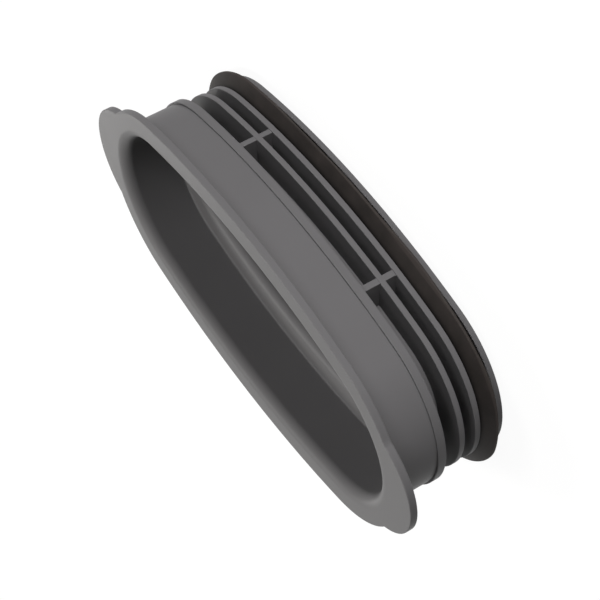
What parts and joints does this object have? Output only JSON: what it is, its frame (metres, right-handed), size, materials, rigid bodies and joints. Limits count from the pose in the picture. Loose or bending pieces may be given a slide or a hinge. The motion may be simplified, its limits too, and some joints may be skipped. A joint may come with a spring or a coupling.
{
  "type": "duct end cap",
  "caption": "Flat oval plug that closes a ventilation duct socket, with a flange, finger ears, ribs and a rubber lip seal near its closed end.",
  "frame": {"origin": "centre of the flat closed end, which it stands on", "axes": "+X along the oval's long axis, +Y across it towards the side that the ears sit nearer, +Z out of the mouth"},
  "size_m": [0.1166, 0.055, 0.0276],
  "materials": {
    "grey_plastic": "fine matte moulded surface",
    "black_rubber": "matte extruded rubber"
  },
  "bodies": {
    "root": {"cap_body": "grey_plastic", "lip_seal": "black_rubber"}
  },
  "joints": []
}
